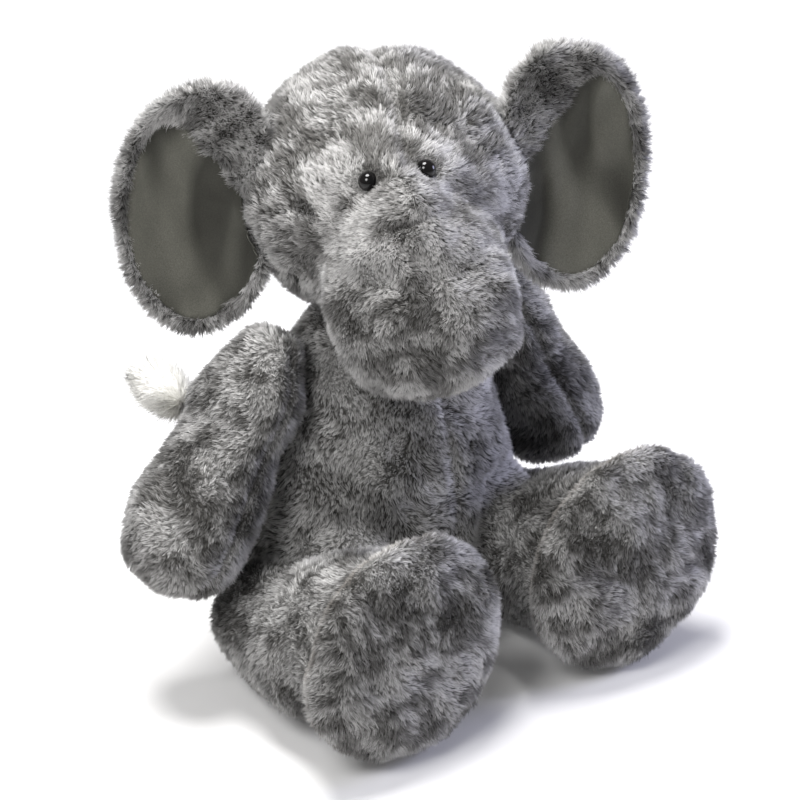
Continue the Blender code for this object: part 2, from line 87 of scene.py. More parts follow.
def frame_at(place, turn_deg):
    """A frame turned about X, then Y, then Z."""
    turn = Matrix.Identity(4)
    for angle, axis in zip(turn_deg, "XYZ"):
        turn = Matrix.Rotation(math.radians(angle), 4, axis) @ turn
    return Matrix.Translation(place) @ turn


EAR = {
    name: HEAD @ Matrix.Translation(EAR_AT[name]) @ Matrix.Rotation(sign * EAR_BACK, 4, "Z")
    for name, sign in SIDES.items()
}
ARM = {name: frame_at(SHOULDER[name], ARM_TILT[name]) for name in SIDES}
LEG = {name: frame_at(HIP[name], (0, 0, SIDES[name] * LEG_OUT[name])) for name in SIDES}


# ---- Arrays ----

def vertices(mesh):
    found = np.empty(len(mesh.vertices) * 3, np.float32)
    mesh.vertices.foreach_get("co", found)
    return found.reshape(-1, 3).astype(float)


def normals(mesh):
    found = np.empty(len(mesh.vertices) * 3, np.float32)
    mesh.vertices.foreach_get("normal", found)
    return found.reshape(-1, 3).astype(float)


def put(mesh, places):
    mesh.vertices.foreach_set("co", places.astype(np.float32).ravel())
    mesh.update()


def into(matrix, places):
    """World places in a frame's own axes."""
    inverse = np.array(matrix.inverted())
    return places @ inverse[:3, :3].T + inverse[:3, 3]


def out_of(matrix, directions):
    """A frame's own directions in world axes."""
    return directions @ np.array(matrix)[:3, :3].T


def unit(vectors):
    return vectors / np.maximum(np.linalg.norm(vectors, axis=-1, keepdims=True), 1e-9)


def wander(places, scale, seed):
    """A smooth random field, about -1 to 1, that changes over the given distance."""
    rng = np.random.default_rng(seed)
    waves = unit(rng.normal(size=(14, 3))) * (2 * math.pi / scale) * rng.uniform(0.5, 1.3, (14, 1))
    return np.sin(places @ waves.T + rng.uniform(0, 2 * math.pi, 14)).sum(1) / 3.6


def smoothstep(low, high, value):
    share = np.clip((value - low) / (high - low), 0, 1)
    return share * share * (3 - 2 * share)


# ---- Padded skins ----

def joined(name, nodes, extra=()):
    """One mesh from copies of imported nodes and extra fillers."""
    places, faces = [], []
    for mesh in [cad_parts[node].data for node in nodes] + list(extra):
        start = sum(len(block) for block in places)
        places.append(vertices(mesh))
        faces += [[start + index for index in face.vertices] for face in mesh.polygons]
    mesh = bpy.data.meshes.new(name)
    mesh.from_pydata(np.concatenate(places).tolist(), [], faces)
    thing = bpy.data.objects.new(name, mesh)
    bpy.context.scene.collection.objects.link(thing)
    return thing


def bake(thing):
    """Applies every modifier to the mesh."""
    graph = bpy.context.evaluated_depsgraph_get()
    graph.update()
    made = bpy.data.meshes.new_from_object(thing.evaluated_get(graph))
    thing.modifiers.clear()
    old = thing.data
    thing.data = made
    made.name = thing.name
    bpy.data.meshes.remove(old)


def blob(centre, radii, matrix):
    """A ball stretched to its radii, in a frame's own axes."""
    bm = bmesh.new()
    bmesh.ops.create_icosphere(bm, subdivisions=4, radius=1)
    place = matrix @ Matrix.LocRotScale(Vector(centre), None, Vector(radii))
    bmesh.ops.transform(bm, matrix=place, verts=bm.verts)
    mesh = bpy.data.meshes.new("blob")
    bm.to_mesh(mesh)
    bm.free()
    return mesh


def remesh(thing, size, smoothing):
    """Makes one even, closed mesh of everything in it, and smooths it."""
    step = thing.modifiers.new("remesh", "REMESH")
    step.mode = "VOXEL"
    step.voxel_size = size
    step = thing.modifiers.new("smooth", "SMOOTH")
    step.factor = 0.6
    step.iterations = smoothing
    bake(thing)


def draw_in(thing, depth):
    """Moves a mesh inward along its normals."""
    put(thing.data, vertices(thing.data) - normals(thing.data) * depth)


def puff(thing, held, cap):
    """Swells a padded skin between its held seams, by cloth simulation."""
    group = thing.vertex_groups.new(name="held")
    share = held(vertices(thing.data))
    for index in np.nonzero(share > 0.02)[0].tolist():
        group.add([index], float(share[index]), "REPLACE")
    rest = vertices(thing.data)
    step = thing.modifiers.new("cloth", "CLOTH")
    step.settings.quality = 4
    step.settings.mass = 0.3
    step.settings.tension_stiffness = 12
    step.settings.compression_stiffness = 12
    step.settings.shear_stiffness = 8
    step.settings.bending_stiffness = 0.6
    step.settings.use_pressure = True
    step.settings.uniform_pressure_force = SWELLING_PRESSURE
    step.settings.vertex_group_mass = "held"
    step.settings.effector_weights.gravity = 0
    step.collision_settings.use_collision = False
    step.point_cache.frame_start = 1
    step.point_cache.frame_end = SWELLING_FRAMES
    for number in range(1, SWELLING_FRAMES + 1):
        bpy.context.scene.frame_set(number)
    graph = bpy.context.evaluated_depsgraph_get()
    swollen = vertices(thing.evaluated_get(graph).to_mesh())
    thing.modifiers.clear()
    thing.vertex_groups.clear()
    bpy.context.scene.frame_set(1)
    if len(swollen) == len(rest) and np.isfinite(swollen).all():
        move = swollen - rest
        length = np.linalg.norm(move, axis=1, keepdims=True)
        move *= np.minimum(1, cap / np.maximum(length, 1e-9))
        put(thing.data, rest + move)


def soften(thing, seed, groove, depth=0.0034, lumps=0.0016):
    """One subdivision, slight lumps of filling, and the seams drawn in."""
    step = thing.modifiers.new("smooth", "SMOOTH")
    step.factor = 0.5
    step.iterations = 3
    step = thing.modifiers.new("finer", "SUBSURF")
    step.levels = 1
    step.render_levels = 1
    bake(thing)
    places = vertices(thing.data)
    move = wander(places, 0.055, seed) * lumps + wander(places, 0.022, seed + 1) * lumps * 0.35
    move -= groove(places) * depth
    places += normals(thing.data) * move[:, None]
    places[:, 2] = np.maximum(places[:, 2], PILE_ON_FLOOR)
    put(thing.data, places)
    thing.data.shade_smooth()


def ridge(distance, width):
    """1 on a line, falling smoothly to 0 over about twice the width."""
    return np.exp(-(distance / width) ** 2)


def skin(name, nodes, voxel, seams, extra=(), seed=1, cap=0.004, smoothing=5,
         depth=0.0034, inset=PILE):
    """A body's padded skin: its nodes merged, drawn in by the pile, swollen, then creased."""
    thing = joined(name, nodes, extra)
    remesh(thing, voxel, smoothing)
    draw_in(thing, inset)
    puff(thing, lambda places: np.clip(seams(places) * 1.2, 0, 1), cap=cap)
    soften(thing, seed, seams, depth)
    return thing


# ---- Fur ----

STRANDS_IN_CLUMP = 6
ROOT_DEPTH = 0.0012   # how far a strand starts under its skin


def surface(mesh):
    """A mesh's places, normals and triangles."""
    mesh.calc_loop_triangles()
    corners = np.empty(len(mesh.loop_triangles) * 3, np.int32)
    mesh.loop_triangles.foreach_get("vertices", corners)
    return vertices(mesh), normals(mesh), corners.reshape(-1, 3)


def spread(mesh, count, rng, keep=None):
    """Places and normals spread evenly over a mesh by area."""
    co, no, tris = surface(mesh)
    a, b, c = co[tris[:, 0]], co[tris[:, 1]], co[tris[:, 2]]
    area = np.linalg.norm(np.cross(b - a, c - a), axis=1)
    if keep is not None:
        area = area * keep((a + b + c) / 3)
    total = np.cumsum(area)
    at = (np.arange(count) + rng.random(count)) / count * total[-1]
    chosen = np.minimum(np.searchsorted(total, at), len(tris) - 1)
    u, v = rng.random((2, count))
    flip = u + v > 1
    u[flip], v[flip] = 1 - u[flip], 1 - v[flip]
    w = np.stack([1 - u - v, u, v], 1)[:, :, None]
    corner = tris[chosen]
    return (co[corner] * w).sum(1), unit((no[corner] * w).sum(1))


def patches(places, seed=77):
    """Where the pile is light (1) or dark (0): ragged patches 10 to 30 mm across."""
    broad = wander(places, 0.046, seed)
    fine = wander(places, 0.019, seed + 1)
    specks = wander(places, 0.008, seed + 2)
    return smoothstep(-0.8, 0.75, 0.8 * broad + 0.8 * fine + 0.55 * specks)


def grow(name, mesh, strands, lay, material, seed, length=0.0052, width=0.00036, lift=1.05,
         keep=None, trim=None, tint=None, swirl=1.0, gather=0.45, radius=0.0017, tone_and_painted_light=0.0):
    """Fur as tapered strands, gathered in clumps that lean along the lay of the pile.

    The "pile" colours say, for each point, how near the tip it is, how light its strand is,
    with painted shade where the pile is trimmed and an added lightness that is partly painted light,
    and how much of the seam's colour it takes.
    """
    rng = np.random.default_rng(seed)
    clumps = strands // STRANDS_IN_CLUMP
    root, normal = spread(mesh, clumps, rng, keep)
    along = lay(root)
    along = unit(along - normal * (along * normal).sum(1, keepdims=True))
    side = np.cross(normal, along)
    turn = (wander(root, 0.05, seed + 5) + 0.5 * wander(root, 0.018, seed + 6)) * swirl
    turn += rng.normal(0, 0.28, clumps)
    along = along * np.cos(turn)[:, None] + side * np.sin(turn)[:, None]
    side = np.cross(normal, along)
    up = np.clip(lift + 0.20 * wander(root, 0.03, seed + 7) + rng.normal(0, 0.12, clumps), 0.12, 1.6)
    lean = unit(normal * up[:, None] + along)
    reach = length * np.clip(1 + rng.normal(0, 0.16, clumps), 0.5, 1.4)
    if trim is not None:
        cut = trim(root)
        reach = reach * cut
    else:
        cut = np.ones(clumps)
    spin = rng.uniform(0, 2 * math.pi, (clumps, STRANDS_IN_CLUMP))
    away = radius * np.sqrt(rng.random((clumps, STRANDS_IN_CLUMP)))
    offset = (along[:, None] * (away * np.cos(spin))[..., None]
              + side[:, None] * (away * np.sin(spin))[..., None])
    base = root[:, None] + offset - normal[:, None] * ROOT_DEPTH
    own = reach[:, None] * rng.uniform(0.72, 1.08, (clumps, STRANDS_IN_CLUMP))
    stray = rng.normal(0, 0.10, (clumps, STRANDS_IN_CLUMP, 3))
    tip = (root[:, None] + offset * gather + (lean[:, None] + stray) * own[..., None])
    base = base.reshape(-1, 3)
    tip = tip.reshape(-1, 3)
    tip[:, 2] = np.maximum(tip[:, 2], FLOOR_CLEAR)
    base[:, 2] = np.maximum(base[:, 2], FLOOR_CLEAR * 2)
    count = len(base)
    line = unit(tip - base)
    first = unit(np.cross(line, unit(rng.normal(size=(count, 3)))))
    second = np.cross(line, first)
    thick = width * rng.uniform(0.75, 1.25, (count, 1))
    thick *= np.sqrt(np.repeat(cut, STRANDS_IN_CLUMP))[:, None]
    ring = [first * math.cos(k * 2.0944) + second * math.sin(k * 2.0944) for k in range(3)]
    places = np.stack([base + thick * step for step in ring] + [tip], 1).reshape(-1, 3)
    places[:, 2] = np.maximum(places[:, 2], FLOOR_CLEAR)
    pattern = np.array([[0, 1, 3], [1, 2, 3], [2, 0, 3], [0, 2, 1]])
    faces = (np.arange(count)[:, None, None] * 4 + pattern).reshape(-1, 3)
    made = bpy.data.meshes.new(name)
    made.vertices.add(len(places))
    made.vertices.foreach_set("co", places.astype(np.float32).ravel())
    made.loops.add(faces.size)
    made.loops.foreach_set("vertex_index", faces.astype(np.int32).ravel())
    made.polygons.add(len(faces))
    made.polygons.foreach_set("loop_start", np.arange(0, faces.size, 3, dtype=np.int32))
    # Added lightness per place: painted light where a part lies in shade, such as the chest and the face, and
    # some of the fur's own tone.
    added_tone_and_painted_light = tone_and_painted_light(root) if callable(tone_and_painted_light) else tone_and_painted_light
    # Painted shade: the tone is darkened where trim shortens the pile, in the seams' creases and round the eyes.
    tone = (added_tone_and_painted_light + 0.10 + 0.74 * patches(root) + rng.normal(0, 0.15, clumps)) * (0.25 + 0.75 * cut)
    tone = np.repeat(tone, STRANDS_IN_CLUMP) + rng.normal(0, 0.15, count)
    tinted = np.zeros(clumps) if tint is None else tint(root)
    shape = np.stack([
        np.tile([0, 0, 0, 1], count),
        np.repeat(np.clip(tone, 0, 1), 4),
        np.repeat(np.repeat(tinted, STRANDS_IN_CLUMP), 4),
        np.ones(count * 4),
    ], 1)
    layer = made.attributes.new("pile", "FLOAT_COLOR", "POINT")
    layer.data.foreach_set("color", shape.astype(np.float32).ravel())
    soft = np.repeat(unit(np.repeat(normal, STRANDS_IN_CLUMP, 0) * 0.75 + line * 0.1), 4, 0)
    around = np.stack([*ring, line], 1).reshape(-1, 3)
    made.update(calc_edges=True)
    made.shade_smooth()
    made.normals_split_custom_set_from_vertices(unit(soft + around * 0.45).tolist())
    cells = math.ceil(math.sqrt(count))
    cell = np.stack([np.arange(count) % cells, np.arange(count) // cells], 1) / cells
    corner_at = np.array([[0.15, 0.12], [0.85, 0.12], [0.5, 0.12], [0.5, 0.9]]) / cells
    spots = (cell[:, None] + corner_at).reshape(-1, 2)
    uv = made.uv_layers.new(name="OFBake")
    uv.data.foreach_set("uv", spots[faces.ravel()].astype(np.float32).ravel())
    made.materials.append(material)
    thing = bpy.data.objects.new(name, made)
    bpy.context.scene.collection.objects.link(thing)
    return thing


# ---- Materials ----

class Nodes:
    """Short names for building a material's node tree."""

    def __init__(self, name, roughness, sheen=0.0):
        self.material = bpy.data.materials.new(name)
        self.material.use_nodes = True
        self.tree = self.material.node_tree
        self.shader = self.tree.nodes["Principled BSDF"]
        self.shader.inputs["Roughness"].default_value = roughness
        self.shader.inputs["Sheen Weight"].default_value = sheen
        self.shader.inputs["Sheen Roughness"].default_value = 0.5
        self.shader.inputs["Specular IOR Level"].default_value = 0.2
        self.place = self.add("ShaderNodeTexCoord").outputs["Object"]

    def add(self, kind, **settings):
        node = self.tree.nodes.new(kind)
        for key, value in settings.items():
            setattr(node, key, value)
        return node

    def link(self, source, target):
        self.tree.links.new(source, target)

    def noise(self, scale, detail=2.0, rough=0.5, shift=0.0):
        node = self.add("ShaderNodeTexNoise")
        node.inputs["Scale"].default_value = scale
        node.inputs["Detail"].default_value = detail
        node.inputs["Roughness"].default_value = rough
        moved = self.add("ShaderNodeVectorMath", operation="ADD")
        moved.inputs[1].default_value = (shift, shift * 0.7, -shift)
        self.link(self.place, moved.inputs[0])
        self.link(moved.outputs[0], node.inputs["Vector"])
        return node.outputs["Fac"]

    def ramp(self, source, *stops):
        node = self.add("ShaderNodeValToRGB")
        band = node.color_ramp
        band.elements[0].position, band.elements[1].position = stops[0][0], stops[-1][0]
        for place, _ in stops[1:-1]:
            band.elements.new(place)
        for element, (_, color) in zip(band.elements, stops):
            element.color = (*color, 1)
        self.link(source, node.inputs["Fac"])
        return node.outputs["Color"]

    def mix(self, share, first, second, blend="MIX"):
        node = self.add("ShaderNodeMix", data_type="RGBA", blend_type=blend)
        for socket, value in ((node.inputs[0], share), (node.inputs[6], first), (node.inputs[7], second)):
            if isinstance(value, bpy.types.NodeSocket):
                self.link(value, socket)
            elif isinstance(value, (tuple, list)):
                socket.default_value = (*value, 1)
            else:
                socket.default_value = value
        return node.outputs[2]

    def color(self, source):
        self.link(source, self.shader.inputs["Base Color"])
        return self

    def bump(self, source, strength, distance):
        node = self.add("ShaderNodeBump")
        node.inputs["Strength"].default_value = strength
        node.inputs["Distance"].default_value = distance
        self.link(source, node.inputs["Height"])
        self.link(node.outputs["Normal"], self.shader.inputs["Normal"])
        return self


def fur_material(name, dark_root, dark_tip, light_root, light_tip, seam=(0.40, 0.34, 0.28)):
    """Each strand runs from its root colour to its tip colour, between a dark and a light kind."""
    made = Nodes(name, 0.8, 0.2)
    layer = made.add("ShaderNodeAttribute", attribute_name="pile")
    parts = made.add("ShaderNodeSeparateColor")
    made.link(layer.outputs["Color"], parts.inputs[0])
    drift = made.ramp(made.noise(34, 3, 0.6, 3.1), (0.35, (0.84, 0.84, 0.84)), (0.65, (1.14, 1.14, 1.15)))
    root = made.mix(parts.outputs[1], dark_root, light_root)
    tip = made.mix(parts.outputs[1], dark_tip, light_tip)
    rise = made.ramp(parts.outputs[0], (0.10, (0, 0, 0)), (0.85, (1, 1, 1)))
    tone = made.mix(1.0, made.mix(rise, root, tip), drift, "MULTIPLY")
    made.color(made.mix(parts.outputs[2], tone, seam))
    return made.material


def ground_material(name, low, high):
    """Pile seen between the strands: fine specks, light and dark where the strands are."""
    made = Nodes(name, 0.95)
    layer = made.add("ShaderNodeAttribute", attribute_name="patch")
    specks = made.ramp(made.noise(520, 3, 0.7), (0.38, (0.35, 0.35, 0.35)), (0.66, (1.5, 1.5, 1.5)))
    tone = made.mix(layer.outputs["Fac"], low, high)
    made.color(made.mix(1.0, tone, specks, "MULTIPLY")).bump(made.noise(900, 2, 0.6), 0.5, 0.0006)
    return made.material


def lay_ground(thing, material):
    """Marks the light and dark patches on a skin and gives it its material."""
    layer = thing.data.attributes.new("patch", "FLOAT", "POINT")
    layer.data.foreach_set("value", patches(vertices(thing.data)).astype(np.float32))
    thing.data.materials.append(material)


FUR = fur_material("grey_tipped_fur", (0.026, 0.025, 0.023), (0.120, 0.115, 0.108),
                   (0.100, 0.098, 0.094), (0.620, 0.610, 0.595))
CREAM = fur_material("cream_fur", (0.42, 0.40, 0.34), (0.72, 0.71, 0.66),
                     (0.52, 0.50, 0.45), (0.88, 0.87, 0.83), seam=(0.80, 0.78, 0.72))
GROUND = ground_material("fur_ground", (0.045, 0.043, 0.040), (0.150, 0.147, 0.142))
CREAM_GROUND = ground_material("cream_ground", (0.42, 0.40, 0.34), (0.60, 0.58, 0.52))


def velour_material():
    """Short nap, with painted shade: darker in the valleys of its folds and beside the head."""
    made = Nodes("ear_velour", 0.75, 0.5)
    made.shader.inputs["Sheen Tint"].default_value = (0.75, 0.75, 0.66, 1)
    nap = made.noise(1300, 3, 0.7)
    layer = made.add("ShaderNodeAttribute", attribute_name="patch")
    painted_fold_shade = made.ramp(layer.outputs["Fac"], (0.0, (0.012, 0.0115, 0.009)),
                      (0.5, (0.046, 0.045, 0.037)), (1.0, (0.098, 0.096, 0.080)))
    grain = made.ramp(nap, (0.3, (0.62, 0.62, 0.62)), (0.7, (1.30, 1.30, 1.30)))
    made.color(made.mix(1.0, painted_fold_shade, grain, "MULTIPLY")).bump(nap, 0.45, 0.0005)
    return made.material


def eye_material():
    made = Nodes("eye_black", 0.07)
    made.shader.inputs["Specular IOR Level"].default_value = 0.30
    cloud = made.noise(120, 2, 0.5)
    made.color(made.ramp(cloud, (0.3, (0.002, 0.002, 0.002)), (0.7, (0.006, 0.005, 0.005))))
    return made.material


VELOUR = velour_material()
EYE_BLACK = eye_material()


# ---- Lay of the pile ----

def steady(direction):
    """One direction everywhere."""
    return lambda places: np.tile(np.array(direction, float), (len(places), 1))


def torso_lay(places):
    return np.stack([places[:, 0] * 2.0, np.zeros(len(places)), np.full(len(places), -1.0)], 1)


def face_lay(places):
    """Away from the bridge of the nose, and down the trunk."""
    own = into(FACE, places)
    back = own - np.array([0, -0.10, 0.015])
    down = np.tile([0, -0.25, -1.0], (len(own), 1))
    on_trunk = smoothstep(0.085, 0.115, -own[:, 1])[:, None]
    return out_of(FACE, unit(back) * (1 - on_trunk) + down * on_trunk)


def eye_places():
    found = {}
    for name, sign in EYES.items():
        rise = math.sin(EYE_ELEVATION) * HEAD_RADII[2]
        ring = HEAD_RADII[0] * math.cos(EYE_ELEVATION)
        across = sign * EYE_HALF_SPACING
        found[name] = Vector((across, -math.sqrt(ring * ring - across * across), rise))
    return found


EYE_AT = eye_places()


def face_trim(places):
    """The pile is clipped short round the eyes."""
    own = into(FACE, places)
    length = np.ones(len(own))
    for place in EYE_AT.values():
        distance = np.linalg.norm(own - np.array(place), axis=1)
        length *= 0.35 + 0.65 * smoothstep(0.008, 0.015, distance)
    return length * (1 - 0.72 * face_seams(places))


def finish_piece(thing, body, nodes=()):
    """Rides a piece on its body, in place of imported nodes."""
    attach(thing, body)
    if nodes:
        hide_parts(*nodes)


# ---- Torso ----

def torso_seams(places):
    centre = ridge(places[:, 0], 0.005) * (places[:, 2] > 0.03)
    return centre * 0.8


TORSO_MIDDLE = 0.015   # where the front fur meets the back fur
TORSO_NODES = ["torso_left_panel", "torso_right_panel", "seat_panel", "torso_stuffing"]
flanks = [blob((sign * 0.062, -0.010, 0.074), (0.050, 0.074, 0.062), Matrix()) for sign in (1, -1)]
torso = skin("torso_skin", TORSO_NODES + ["neck_stuffing", "pellet_bag"], 0.0048, torso_seams,
             extra=flanks, seed=11)
lay_ground(torso, GROUND)
finish_piece(torso, "torso", TORSO_NODES + ["pellet_bag", "neck_stuffing"])


def above_floor(places):
    return (places[:, 2] > UNDER_FUR).astype(float)


for half, sign in SIDES.items():
    for part, facing in (("front", -1), ("back", 1)):
        def quarter(places, sign=sign, facing=facing):
            past = (places[:, 1] - TORSO_MIDDLE) * facing > 0
            return above_floor(places) * (places[:, 0] * sign > 0) * past

        # The front quarters are painted lighter: painted light on the chest, which lies in shade.
        fur = grow(f"torso_fur_{half}_{part}", torso.data, 45000, torso_lay, FUR,
                   100 + sign + 10 * facing, keep=quarter,
                   trim=lambda places: 1 - 0.35 * torso_seams(places), tone_and_painted_light=0.40 if part == "front" else 0.05)
        finish_piece(fur, "torso")

# ---- Head and trunk, one sewn skin ----

def trunk_edge(face):
    """1 along the crease where the trunk stands off the cheeks, from the eyes down."""
    half = np.interp(face[:, 2], [-0.085, -0.050, -0.020, 0.010, 0.030, 0.046],
                     [0.076, 0.078, 0.071, 0.049, 0.030, 0.016])
    band = ridge(np.abs(face[:, 0]) - half, 0.0055)
    low = smoothstep(-0.075, -0.045, face[:, 2])
    low *= 1 - 0.75 * smoothstep(-0.030, -0.005, face[:, 2])
    return band * low * (face[:, 1] < -0.035) * (face[:, 2] < 0.042)


def face_seams(places):
    """The seam over the crown, the one under the trunk, its edge and the fold on the nose."""
    own = into(HEAD, places)
    face = into(FACE, places)
    crown = ridge(own[:, 0], 0.005) * (own[:, 2] > 0.05)
    off_seam = (face - np.array(TRUNK_SEAM_AT)) @ np.array(TRUNK_SEAM_NORMAL)
    lip = ridge(off_seam, 0.0035) * (face[:, 1] < -0.105)
    nose = ridge(face[:, 2] - 0.024 - 0.10 * face[:, 0], 0.0028) * ridge(face[:, 0] + 0.004, 0.015)
    nose = nose * (face[:, 1] < -0.09)
    return np.maximum.reduce([crown * 0.6, lip, trunk_edge(face), nose * 0.8])


HEAD_NODES = ["head_left_panel", "head_right_panel", "head_stuffing"]
TRUNK_NODES = ["trunk_upper_panel", "trunk_under_panel", "trunk_stuffing"]
root_fill = [
    blob((0, -0.088, 0.036), (0.016, 0.019, 0.024), FACE),
    blob((0, -0.098, 0.016), (0.031, 0.030, 0.034), FACE),
    blob((0, -0.098, -0.010), (0.057, 0.045, 0.044), FACE),
    blob((0.002, -0.117, -0.062), (0.066, 0.042, 0.046), FACE),
    blob((0, -0.060, -0.028), (0.070, 0.046, 0.056), FACE),
    blob((0, -0.030, 0), (0.070, 0.060, 0.070), FACE),
]
head = skin("head_skin", HEAD_NODES + TRUNK_NODES, 0.0042, face_seams, extra=root_fill, seed=21,
            smoothing=4, depth=0.0050)
lay_ground(head, GROUND)


def face_painted_light(places):
    """Painted light and shade: the bridge between the eyes, the trunk's top and the flank on the face's +X side
    painted lighter, the crown painted darker.
    """
    own = into(FACE, places)
    bridge = ridge(own[:, 0], 0.022) * smoothstep(-0.02, 0.02, own[:, 2])
    bridge *= 1 - smoothstep(0.045, 0.07, own[:, 2])
    flank = smoothstep(0.010, 0.040, own[:, 0]) * (own[:, 1] < -0.07)
    crown = smoothstep(0.03, 0.07, own[:, 2])
    # Painted light on the bridge and flank, painted shade on the crown.
    return 0.04 - 0.20 * crown + 0.20 * bridge * (own[:, 1] < -0.085) + 0.14 * flank


def bend_with_trunk(thing, nodes=()):
    """Bakes a piece's place into its mesh and hides the imported nodes it stands for."""
    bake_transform(thing)
    if nodes:
        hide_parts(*nodes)


bend_with_trunk(head, HEAD_NODES + TRUNK_NODES + ["left_eye_washer", "right_eye_washer"])


def off_eyes(places):
    """0 where an eye stands in the fur."""
    own = into(FACE, places)
    clear = np.ones(len(own))
    for place in EYE_AT.values():
        clear *= np.linalg.norm(own - np.array(place), axis=1) > 0.0075
    return clear


for part, count, chosen in (
    ("head_fur_left", 45000, lambda own: (own[:, 1] > -0.060) & (own[:, 0] > 0)),
    ("head_fur_right", 45000, lambda own: (own[:, 1] > -0.060) & (own[:, 0] <= 0)),
    ("face_fur", 42000, lambda own: (own[:, 1] <= -0.060) & (own[:, 2] > -0.010)),
    ("trunk_fur", 49800, lambda own: (own[:, 1] <= -0.060) & (own[:, 2] <= -0.010)),
):
    fur = grow(part, head.data, count, face_lay, FUR, 200 + len(part),
               keep=lambda places, chosen=chosen: chosen(into(FACE, places)) * off_eyes(places),
               trim=face_trim, tone_and_painted_light=face_painted_light)
    bend_with_trunk(fur)

# ---- Eyes ----

for name, place in EYE_AT.items():
    outward = place.normalized()
    seat = FACE @ Matrix.Translation(place - outward * 0.0028)
    turn = outward.to_track_quat("Z", "Y").to_matrix().to_4x4()
    dome = blob((0, 0, 0), (0.0068, 0.0068, 0.0060), seat @ turn)
    dome.name = f"{name}_eye_dome"
    dome.shade_smooth()
    dome.materials.append(EYE_BLACK)
    eye = bpy.data.objects.new(f"{name}_eye_dome", dome)
    bpy.context.scene.collection.objects.link(eye)
    finish_piece(eye, "head", [f"{name}_eye"])

# ---- Ears ----

def ear_point(angle, share, side):
    """Across and up on the ear's outline, drawn in by a share."""
    along, rise = np.cos(angle), np.sin(angle)
    corner = np.where(rise > 0, 0.28, 0.02)
    square = 1 + corner * np.maximum(0, -along) * np.abs(rise)
    wide = EAR_CENTRE_OUT + EAR_HALF_WIDTH * share * along * square
    return side * wide, EAR_HALF_HEIGHT * share * rise * square


def fold_over(angle):
    """How far the velour reaches: less under the fur folded over the root's top corner."""
    corner = smoothstep(1.15, 1.85, angle) * (1 - smoothstep(2.7, 3.3, angle))
    upper = smoothstep(-0.4, 0.6, np.sin(angle)) * 0.05
    return 1 - 0.46 * corner - upper


def ear_middle(angle, share):
    """How far back the ear's middle plane lies: cupped, with a gently waving rim."""
    wave = 0.0022 * np.sin(angle * 3 + 1.3) + 0.0012 * np.sin(angle * 7 + 2.4)
    return wave * share - 0.016 * share * share


def ear_sheet(name, side, matrix, rings, around=96):
    """A closed form through rings of (share, forward, follows the fold) on the outline."""
    angle = np.linspace(0, 2 * math.pi, around, endpoint=False)
    blocks = []
    for share, forward, follows in rings:
        own_share = share * np.where(follows, fold_over(angle), 1)
        x, z = ear_point(angle, own_share, side)
        y = ear_middle(angle, own_share) - forward
        blocks.append(np.stack([x, y, z], 1))
    places = np.concatenate(blocks)
    faces = []
    for ring in range(len(rings) - 1):
        for step in range(around):
            after = (step + 1) % around
            faces.append((ring * around + step, ring * around + after,
                          (ring + 1) * around + after, (ring + 1) * around + step))
    faces.append(tuple(range(around))[::-1])
    faces.append(tuple((len(rings) - 1) * around + step for step in range(around)))
    mesh = bpy.data.meshes.new(name)
    mesh.from_pydata(places.tolist(), [], faces)
    thing = bpy.data.objects.new(name, mesh)
    bpy.context.scene.collection.objects.link(thing)
    mesh.transform(matrix)
    mesh.update()
    return thing


def folds(own, seed):
    """Soft folds that run mostly up and down the lining: -1 in a valley, up to 0.6 on a crest."""
    stretched = own * np.array([1.0, 0.3, 0.42])
    broad = smoothstep(-0.7, 0.5, wander(stretched, 0.038, seed))
    narrow = wander(stretched, 0.020, seed + 1)
    return np.clip(1.5 * broad - 0.95 + 0.20 * narrow, -1, 0.7)


def clear_of_head(thing, gap):
    """Ear cloth that would lie in the head is pressed out to its surface."""
    own = into(HEAD, vertices(thing.data))
    radii = np.array(HEAD_RADII) + gap
    depth = np.linalg.norm(own / radii, axis=1)
    own = own / np.minimum(depth, 1)[:, None]
    turned = own @ np.array(HEAD)[:3, :3].T + np.array(HEAD)[:3, 3]
    put(thing.data, turned)


